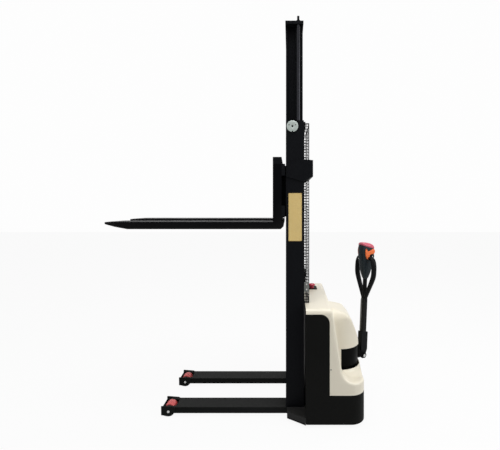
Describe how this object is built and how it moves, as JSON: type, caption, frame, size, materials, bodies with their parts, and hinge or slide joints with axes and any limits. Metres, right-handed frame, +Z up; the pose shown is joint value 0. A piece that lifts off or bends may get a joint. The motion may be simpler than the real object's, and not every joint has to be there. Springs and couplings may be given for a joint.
{
  "type": "electric pallet stacker",
  "caption": "Walk-behind electric pallet stacker: two-stage mast, raised forks over low support legs, covered drive body with a steered tiller.",
  "frame": {"origin": "On the floor, under the middle of the machine's bounding box.", "axes": "+X from the fork tips towards the tiller, +Y to the operator's right, +Z up."},
  "size_m": [1.9313, 0.776, 2.773],
  "materials": {
    "black_steel": "satin",
    "cover_plastic": "satin",
    "panel_plastic": "satin",
    "chromed_rod": "polished",
    "bright_steel": "brushed",
    "chain_steel": "oiled",
    "load_tread": "matte",
    "drive_tread": "matte",
    "stop_red": "gloss",
    "throttle_orange": "satin",
    "grip_plastic": "matte",
    "battery_case": "matte"
  },
  "bodies": {
    "chassis": {"leg_left": "black_steel", "leg_right": "black_steel", "mast_base": "black_steel", "outer_rail_left": "black_steel", "outer_rail_right": "black_steel", "top_rollers": "bright_steel", "outer_cross_members": "black_steel", "mast_tie": "black_steel", "cylinder_tube_left": "black_steel", "cylinder_tube_right": "black_steel", "mesh_guard": "black_steel", "skirt": "black_steel", "deck": "black_steel", "body_cover": "cover_plastic", "hump_cover": "cover_plastic", "shelf_cover": "cover_plastic", "side_panel_left": "panel_plastic", "side_panel_right": "panel_plastic", "battery": "battery_case", "pump_unit": "black_steel", "stop_plate": "panel_plastic", "stop_button": "stop_red", "chain_rear": "chain_steel", "castor_mount": "black_steel"},
    "inner_mast": {"inner_rail_left": "black_steel", "inner_rail_right": "black_steel", "inner_top_plate": "black_steel", "inner_cross": "black_steel", "chain_pulleys": "bright_steel", "inner_rollers": "bright_steel", "cylinder_rod_left": "chromed_rod", "cylinder_rod_right": "chromed_rod", "chain_wraps": "chain_steel"},
    "carriage": {"carriage_frame": "black_steel", "carriage_top_bar": "black_steel", "carriage_rollers": "bright_steel", "fork_left": "black_steel", "fork_right": "black_steel", "chain_front": "chain_steel"},
    "load_wheel_left": {"load_wheel_left": "load_tread"},
    "load_wheel_right": {"load_wheel_right": "load_tread"},
    "steer_unit": {"drive_frame": "black_steel", "drive_motor": "black_steel", "steering_drum": "black_steel"},
    "drive_wheel": {"drive_wheel": "drive_tread"},
    "tiller": {"tiller_foot": "grip_plastic", "tiller_shaft": "black_steel", "tiller_loop": "grip_plastic", "tiller_head": "grip_plastic", "belly_switch": "stop_red", "throttle_left": "throttle_orange", "throttle_right": "throttle_orange"},
    "castor_fork": {"castor_fork": "black_steel"},
    "castor_wheel": {"castor_wheel": "load_tread"}
  },
  "joints": [
    {"name": "mast_lift", "type": "slide", "parent": "chassis", "child": "inner_mast", "axis": [0, 0, 1], "range_m": [-0.627, 0.828], "deforming": ["chain_rear"]},
    {"name": "carriage_lift", "type": "slide", "parent": "inner_mast", "child": "carriage", "axis": [0, 0, 1], "range_m": [-0.627, 0.828], "deforming": ["chain_front"]},
    {"name": "load_wheel_left_spin", "type": "hinge", "parent": "chassis", "child": "load_wheel_left", "pos_m": [-0.51, -0.2, 0.037], "axis": [0, 1, 0], "continuous": true},
    {"name": "load_wheel_right_spin", "type": "hinge", "parent": "chassis", "child": "load_wheel_right", "pos_m": [-0.51, 0.2, 0.037], "axis": [0, 1, 0], "continuous": true},
    {"name": "steer", "type": "hinge", "parent": "chassis", "child": "steer_unit", "pos_m": [0.679, -0.12, 0.3], "axis": [0, 0, 1], "range_deg": [-95, 45]},
    {"name": "drive_wheel_spin", "type": "hinge", "parent": "steer_unit", "child": "drive_wheel", "pos_m": [0.679, -0.12, 0.105], "axis": [-0.4226, 0.9063, 0], "continuous": true},
    {"name": "tiller_tilt", "type": "hinge", "parent": "steer_unit", "child": "tiller", "pos_m": [0.86389, -0.03379, 0.339], "axis": [-0.4226, 0.9063, 0], "range_deg": [0, 75]},
    {"name": "castor_swivel", "type": "hinge", "parent": "chassis", "child": "castor_fork", "pos_m": [0.718, 0.23, 0.14], "axis": [0, 0, 1], "continuous": true},
    {"name": "castor_wheel_spin", "type": "hinge", "parent": "castor_fork", "child": "castor_wheel", "pos_m": [0.748, 0.23, 0.0575], "axis": [0, 1, 0], "continuous": true}
  ],
  "couplings": [
    {"joint": "carriage_lift", "follows": "mast_lift", "ratio": 1}
  ]
}
